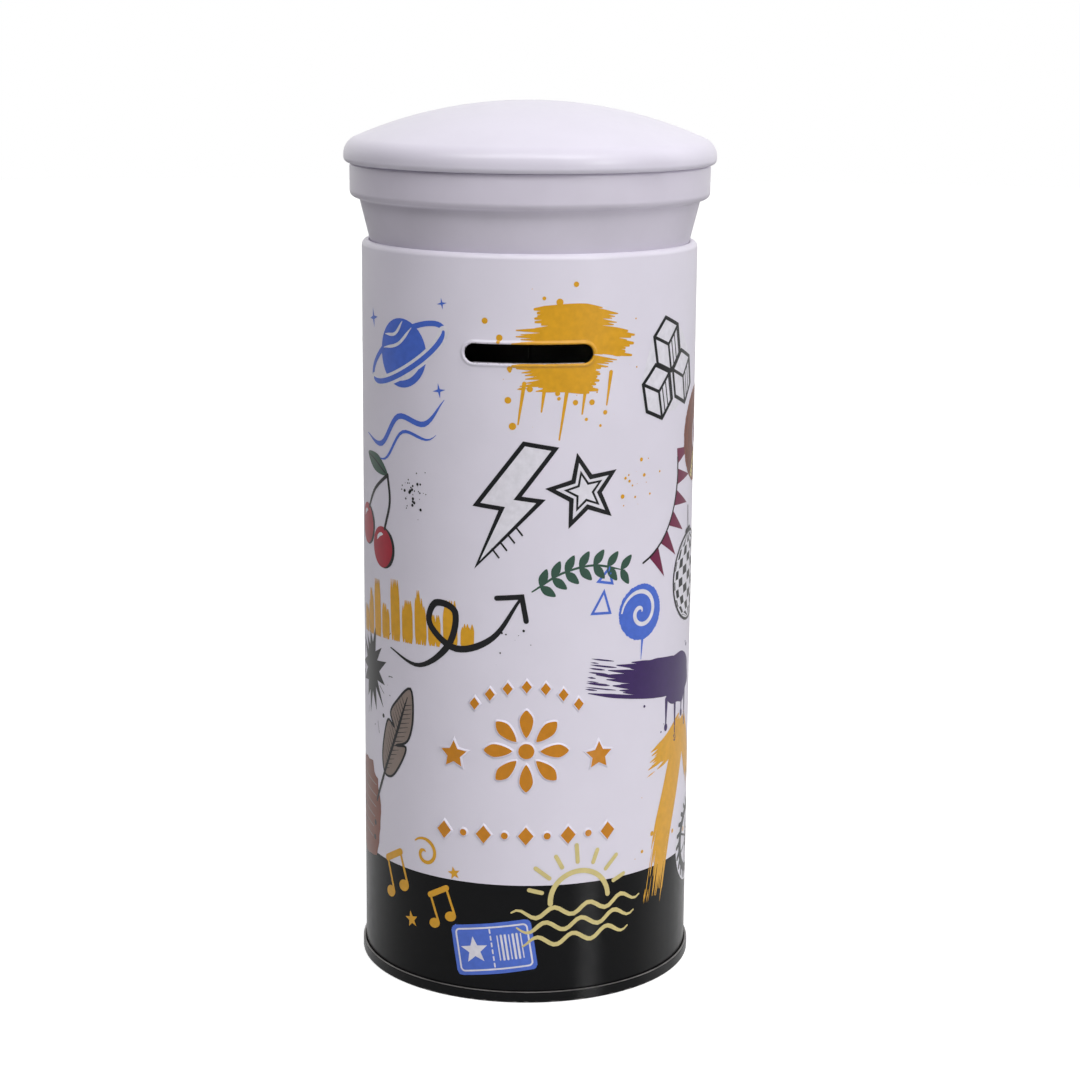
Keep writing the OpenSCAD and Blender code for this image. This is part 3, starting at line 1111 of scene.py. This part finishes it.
def kite(rng):
    """A green kite with white sticks, and bows on its tail."""
    body = [(0, 9), (-6, 2), (0, -9), (6, 2)]
    tail = curve([(0, -9), (3, -13), (-2, -17), (2, -22)])
    bow = [[(0, 0), (2, 1.2), (2, -1.2)], [(0, 0), (-2, -1.2), (-2, 1.2)]]
    bows = [moved([bow], *tail[k], 25 * k)[0] for k in (5, 12, 18)]
    sticks = [stroke([(0, 8.4), (0, -8.4)], 0.5), stroke([(-5.4, 2), (5.4, 2)], 0.5)]
    lines = [stroke(body, 0.7, closed=True), stroke(tail, 0.5)]
    return [("green", 1, [[body]]), ("white", 2, sticks), ("black", 2, lines + bows)]


def spiral_sun(rng):
    """A maroon curl with short rays."""
    curl = [polar(0.7 * a, a) for a in np.linspace(0.5, 9.6, 44)]
    angles = np.radians(range(10, 370, 30))
    rays = [stroke([polar(8.6, a), polar(11.2, a)], 1.1) for a in angles]
    return [("maroon", 1, [stroke(curl, 1.4, (0.3, 0.3))] + rays)]


# motif, place along the tube's girth from the front, height, turn, size
LAYOUT = (
    (scrub, 9, 163, -10, 1.0),
    (planet, -35, 163, 10, 1.12),
    (swoosh, -36, 144, 24, 1.0),
    (cubes, 42, 155, 12, 1.15),
    (record, 62, 140, 0, 1.15),
    (bolt, -5, 127, -10, 1.1),
    (open_star, 14, 131, 12, 1.15),
    (ochre_specks, 30, 132, 0, 1.0),
    (sprig, 13, 111, 8, 0.95),
    (cherries, -47, 122, -14, 1.15),
    (splatter, -30, 129, 0, 0.6),
    (bunting, 38, 124, 60, 1.1),
    (mirror_ball, 56, 104, 6, 1.15),
    (sound_bars, -36, 98, 4, 1.1),
    (whip, -19, 95, 14, 1.0),
    (lolly, 31, 99, 8, 1.1),
    (blot, 37, 78, 4, 1.05),
    (splash, -51, 80, 0, 1.05),
    (feather, -39, 63, -24, 1.1),
    (torn_paper, -56, 42, -10, 1.15),
    (big_arrow, 45, 45, -8, 1.12),
    (wheel, 61, 32, 0, 1.1),
    (notes, -30, 26, 12, 1.2),
    (sunrise, 14, 26, 4, 1.1),
    (ticket, -8, 14, 9, 1.0),
    # the far side
    (kite, 88, 168, -18, 1.0),
    (sound_bars, 112, 158, -10, 0.8),
    (planet, 108, 128, -16, 1.0),
    (spiral_sun, 88, 112, 0, 1.0),
    (bolt, 118, 98, 14, 1.0),
    (blot, 98, 84, 170, 0.9),
    (cherries, 88, 60, 12, 0.9),
    (ticket, 112, 62, -14, 1.0),
    (scrub, 112, 40, 160, 0.9),
    (sunrise, 90, 22, -6, 0.9),
    (open_star, 120, 18, 0, 0.8),
    (scrub, -84, 160, 30, 0.9),
    (record, -112, 164, 0, 1.0),
    (halftone, -100, 181, 0, 0.8),
    (cubes, -84, 132, -10, 1.0),
    (mirror_ball, -112, 126, 0, 1.0),
    (bunting, -88, 108, 8, 0.9),
    (whip, -112, 102, -20, 0.9),
    (big_arrow, -86, 76, 24, 0.9),
    (lolly, -110, 80, 0, 1.0),
    (sprig, -115, 62, -12, 0.9),
    (kite, -88, 50, 30, 0.75),
    (notes, -112, 40, -8, 1.0),
    (ticket, -86, 16, -8, 1.0),
    (spiral_sun, -116, 16, 0, 0.7),
)

INK_COLOURS = {
    "ochre": (220, 161, 32),
    "blue": (76, 110, 208),
    "purple": (58, 34, 92),
    "black": (18, 18, 22),
    "green": (52, 84, 70),
    "maroon": (112, 22, 64),
    "crimson": (168, 22, 48),
    "copper": (124, 62, 40),
    "taupe": (140, 124, 116),
    "pale_gold": (212, 196, 132),
    "white": (226, 223, 232),
}


def artwork():
    """Every motif of the layout, gathered into one print for each ink."""
    prints = {name: [] for name in INK_COLOURS}
    for i, (motif, s, z, turn, size) in enumerate(LAYOUT):
        for name, level, regions in motif(random.Random(i)):
            prints[name].append((level, moved(regions, s, z, turn, size)))
    inks = {name: ink("ink_" + name, linear(*rgb)) for name, rgb in INK_COLOURS.items()}
    for name, layers in prints.items():
        print_ink("print_" + name, layers, inks[name])


artwork()

# ---- pressed gold ornament ----

PAD_H = 0.38  # height of the pressed pads
PAD_SLOPE = 0.42  # width of their white sloping sides


def petal(turn):
    """One of the rosette's petals, at some degrees."""
    loop = curve([(3, 0), (5.4, -1.6), (8.6, -2), (11, 0), (8.6, 2), (5.4, 1.6)], closed=True, steps=5)
    return moved([[loop]], 0, 0, turn)[0][0]


def lozenge(x, y, w, h):
    """A lozenge w wide and h high about (x, y), as the loop of a pad."""
    return np.array([(x + w / 2, y), (x, y + h / 2), (x - w / 2, y), (x, y - h / 2)])


def ornament():
    """Loops of the pads: a rosette between stars, an arch of lozenges above and a row below."""
    rosette_z, star_z, arch_z, row_z = 66, 64, 62.5, 44
    rosette = [petal(45 * k) for k in range(8)] + disc(0, 0, 2.4)
    loops = [np.array(loop) + (0, rosette_z) for loop in rosette]
    for side in (-1, 1):
        loops.append(np.array(star(side * 18.5, star_z, 4.6, 5, 0.5)[0]))
    for k in range(-3, 4):
        a = radians(13.5 * k)
        loops.append(lozenge(20 * sin(a), arch_z + 20 * cos(a), 3.6, 4.6))
    for k in range(-4, 5):
        if k % 2:
            loops.append(np.array(disc(5.3 * k, row_z, 1.3)[0]))
        else:
            loops.append(lozenge(5.3 * k, row_z, 5.0, 6.0))
    return loops


def pads(loops):
    """White sloping sides and gold faces for the ornament's pads."""
    bm = bmesh.new()
    slope = [(0, -0.02), (0.45, PAD_H * 0.75), (1, PAD_H)]
    faces = []
    for loop in loops:
        rings = []
        for share, lift in slope:
            flat = loop + sideways(loop, True) * PAD_SLOPE * share
            rings.append([bm.verts.new(p) for p in wall_points(*flat.T, lift)])
        for a, b in zip(rings, rings[1:]):
            for i in range(len(loop)):
                j = (i + 1) % len(loop)
                bm.faces.new([a[i], a[j], b[j], b[i]])
        faces.append([flat])
    sides = add_mesh("ornament_sides", bm, [WHITE])
    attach(sides, "box")
    print_ink("ornament_gold", [((PAD_H - PRINT_LIFT) / LAYER, faces)], GOLD)


pads(ornament())

# ---- floor, light and camera ----


def floor():
    """A pale satin floor. The camera sees it as white, apart from the object's shadow, which painted shade
    deepens close to the tin.
    """
    radius = 3000
    drop = 0.1
    bm = bmesh.new()
    bmesh.ops.create_circle(bm, cap_ends=True, segments=96, radius=radius)
    s = Shader("floor")
    away = s.add("VectorMath", operation="LENGTH")
    s.join(s.where, away.inputs[0])
    far = s.remap(away.outputs["Value"], 0.12, 0.5)
    s.set(Base_Color=s.mix(far, PALE, linear(150, 150, 150)), Roughness=0.1, IOR=1.45)
    kinds = ("BsdfDiffuse", "Emission", "AddShader", "MixShader")
    matt, white, both, pick = (s.add(kind) for kind in kinds)
    matt.inputs["Color"].default_value = PALE
    # painted shade: the glow that the camera sees is weaker near the tin, 0.7 rising to 1.0 by 0.9 m out,
    # so the real shadow shows darker close to it
    s.join(s.remap(away.outputs["Value"], 0.15, 0.9, 0.7, 1.0), white.inputs["Strength"])
    s.join(s.add("LightPath").outputs["Is Camera Ray"], pick.inputs[0])
    for source, target, i in ((matt, both, 0), (white, both, 1), (s.bsdf, pick, 1), (both, pick, 2)):
        s.join(source.outputs[0], target.inputs[i])
    s.join(pick.outputs[0], s.tree.nodes["Material Output"].inputs["Surface"])
    obj = add_mesh("floor", bm, [s.material])
    obj.location.z = -drop * MM


def world():
    """White for the camera and in reflections from behind; else a dim room and a backdrop."""
    studio = bpy.data.worlds.new("studio")
    bpy.context.scene.world = studio
    n = Nodes(studio)
    direction = n.split(n.add("TexCoord").outputs["Generated"])
    behind = n.remap(direction["Y"], 0.1, 0.6)
    path = n.add("LightPath").outputs
    gain = n.math("MULTIPLY_ADD", path["Is Glossy Ray"], 1 - BACKDROP, BACKDROP - ROOM)
    clear = n.math("MAXIMUM", path["Is Camera Ray"], path["Is Transmission Ray"])
    background = n.tree.nodes["Background"].inputs
    background["Color"].default_value = (1, 1, 1, 1)
    n.join(n.math("MAXIMUM", clear, n.math("MULTIPLY_ADD", behind, gain, ROOM)), background["Strength"])


def softbox(name, azimuth, elevation, distance, width, height, radiance):
    """A rectangular lamp that faces the tin's middle, azimuth degrees to the right of the front."""
    a, e = radians(azimuth), radians(elevation)
    target = Vector((0, 0, LID_TOP / 2 * MM))
    toward = Vector((sin(a) * cos(e), -cos(a) * cos(e), sin(e)))
    data = bpy.data.lights.new(name, "AREA")
    data.shape = "RECTANGLE"
    data.size = width
    data.size_y = height
    data.energy = radiance * pi * width * height
    lamp = placed(name, data)
    lamp.location = target + toward * distance
    lamp.rotation_euler = toward.to_track_quat("Z", "Y").to_euler()


def camera():
    """The camera of the view that the object is shown from, placed in radii of the tube."""
    data = bpy.data.cameras.new("camera")
    data.sensor_width = 36
    data.lens = 82.93
    data.clip_start = 0.01
    cam = placed("camera", data)
    away, height = 14.89 * BODY_R * MM, 5.79 * BODY_R * MM
    pitch, yaw, roll = (radians(a) for a in (12.11, 0.29, 0.44))
    turn = Matrix.Rotation(-yaw, 4, "Z") @ Matrix.Rotation(pi / 2 - pitch, 4, "X")
    turn = turn @ Matrix.Rotation(roll, 4, "Z")
    cam.matrix_world = Matrix.Translation((0, -away, height)) @ turn
    bpy.context.scene.camera = cam


PALE = linear(224, 224, 224)
ROOM = 0.12  # brightness in front of the object
BACKDROP = 0.45  # brightness behind it
LAMPS = (  # azimuth, elevation, distance, width, height, radiance
    ("key", 42, 44, 1.2, 0.8, 0.6, 1.3),
    ("strip", 45, 15, 1.1, 0.26, 0.22, 14.0),
    ("right", 105, 25, 1.1, 0.6, 0.9, 1.1),
    ("top", 0, 84, 1.0, 1.8, 1.3, 0.45),
    ("front", -5, 54, 1.2, 1.8, 0.35, 4.4),
)

floor()
world()
for lamp in LAMPS:
    softbox(*lamp)
camera()
bpy.context.scene.view_settings.view_transform = "Standard"
